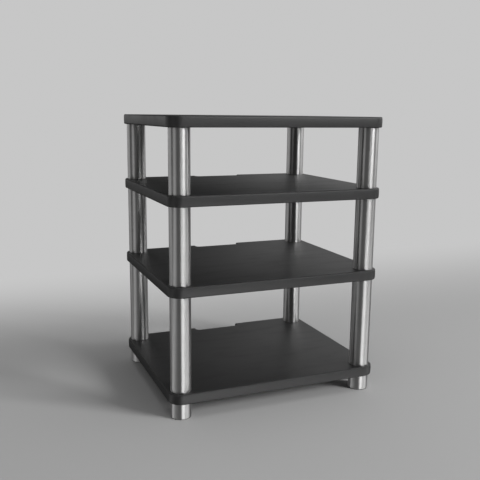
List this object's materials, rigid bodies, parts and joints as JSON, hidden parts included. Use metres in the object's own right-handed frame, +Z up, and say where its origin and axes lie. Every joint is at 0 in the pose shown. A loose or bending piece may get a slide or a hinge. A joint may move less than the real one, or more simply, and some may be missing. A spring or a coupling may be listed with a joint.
{
  "type": "audio equipment rack",
  "caption": "Free-standing open rack: rounded black board shelves on stainless tube columns, cable notches at the rear, screw feet for levelling.",
  "frame": {"origin": "on the floor under the middle of the rack's outline", "axes": "+Z up, +X to the right of someone facing the rack, -Y towards the open front, +Y towards the rear edge with the cable notches"},
  "size_m": [0.6, 0.5, 0.763],
  "materials": {
    "black_board": "satin black lacquer on fibreboard",
    "stainless": "finely brushed, nearly polished stainless tube",
    "zinc_steel": "bright zinc-plated hardware",
    "brass": "plain machined",
    "glide_plastic": "matt black moulded nylon"
  },
  "bodies": {
    "rack": {"bottom_shelf": "black_board", "lower_shelf": "black_board", "upper_shelf": "black_board", "top_shelf": "black_board", "lower_tube_front_left": "stainless", "lower_tube_front_right": "stainless", "lower_tube_rear_left": "stainless", "lower_tube_rear_right": "stainless", "middle_tube_front_left": "stainless", "middle_tube_front_right": "stainless", "middle_tube_rear_left": "stainless", "middle_tube_rear_right": "stainless", "upper_tube_front_left": "stainless", "upper_tube_front_right": "stainless", "upper_tube_rear_left": "stainless", "upper_tube_rear_right": "stainless", "levelling_stud_front_left": "zinc_steel", "levelling_stud_front_right": "zinc_steel", "levelling_stud_rear_left": "zinc_steel", "levelling_stud_rear_right": "zinc_steel", "lower_stud_front_left": "zinc_steel", "lower_stud_front_right": "zinc_steel", "lower_stud_rear_left": "zinc_steel", "lower_stud_rear_right": "zinc_steel", "upper_stud_front_left": "zinc_steel", "upper_stud_front_right": "zinc_steel", "upper_stud_rear_left": "zinc_steel", "upper_stud_rear_right": "zinc_steel", "top_stud_front_left": "zinc_steel", "top_stud_front_right": "zinc_steel", "top_stud_rear_left": "zinc_steel", "top_stud_rear_right": "zinc_steel", "top_insert_front_left": "brass", "top_insert_front_right": "brass", "top_insert_rear_left": "brass", "top_insert_rear_right": "brass", "clamp_washer_front_left": "zinc_steel", "clamp_washer_front_right": "zinc_steel", "clamp_washer_rear_left": "zinc_steel", "clamp_washer_rear_right": "zinc_steel", "clamp_nut_front_left": "zinc_steel", "clamp_nut_front_right": "zinc_steel", "clamp_nut_rear_left": "zinc_steel", "clamp_nut_rear_right": "zinc_steel"},
    "glide_front_left": {"foot_glide_front_left": "glide_plastic"},
    "glide_front_right": {"foot_glide_front_right": "glide_plastic"},
    "glide_rear_left": {"foot_glide_rear_left": "glide_plastic"},
    "glide_rear_right": {"foot_glide_rear_right": "glide_plastic"},
    "foot_front_left": {"foot_sleeve_front_left": "stainless"},
    "foot_front_right": {"foot_sleeve_front_right": "stainless"},
    "foot_rear_left": {"foot_sleeve_rear_left": "stainless"},
    "foot_rear_right": {"foot_sleeve_rear_right": "stainless"}
  },
  "joints": [
    {"name": "foot_height_front_left", "type": "slide", "parent": "rack", "child": "glide_front_left", "axis": [0, 0, -1], "range_m": [0, 0.009]},
    {"name": "foot_height_front_right", "type": "slide", "parent": "rack", "child": "glide_front_right", "axis": [0, 0, -1], "range_m": [0, 0.009]},
    {"name": "foot_height_rear_left", "type": "slide", "parent": "rack", "child": "glide_rear_left", "axis": [0, 0, -1], "range_m": [0, 0.009]},
    {"name": "foot_height_rear_right", "type": "slide", "parent": "rack", "child": "glide_rear_right", "axis": [0, 0, -1], "range_m": [0, 0.009]},
    {"name": "foot_turn_front_left", "type": "hinge", "parent": "glide_front_left", "child": "foot_front_left", "pos_m": [-0.265, -0.215, 0.02], "axis": [0, 0, -1], "range_deg": [0, 2160]},
    {"name": "foot_turn_front_right", "type": "hinge", "parent": "glide_front_right", "child": "foot_front_right", "pos_m": [0.265, -0.215, 0.02], "axis": [0, 0, -1], "range_deg": [0, 2160]},
    {"name": "foot_turn_rear_left", "type": "hinge", "parent": "glide_rear_left", "child": "foot_rear_left", "pos_m": [-0.265, 0.215, 0.02], "axis": [0, 0, -1], "range_deg": [0, 2160]},
    {"name": "foot_turn_rear_right", "type": "hinge", "parent": "glide_rear_right", "child": "foot_rear_right", "pos_m": [0.265, 0.215, 0.02], "axis": [0, 0, -1], "range_deg": [0, 2160]}
  ],
  "couplings": [
    {"joint": "foot_height_front_left", "follows": "foot_turn_front_left", "m_per_rad": 0.00023873},
    {"joint": "foot_height_front_right", "follows": "foot_turn_front_right", "m_per_rad": 0.00023873},
    {"joint": "foot_height_rear_left", "follows": "foot_turn_rear_left", "m_per_rad": 0.00023873},
    {"joint": "foot_height_rear_right", "follows": "foot_turn_rear_right", "m_per_rad": 0.00023873}
  ]
}
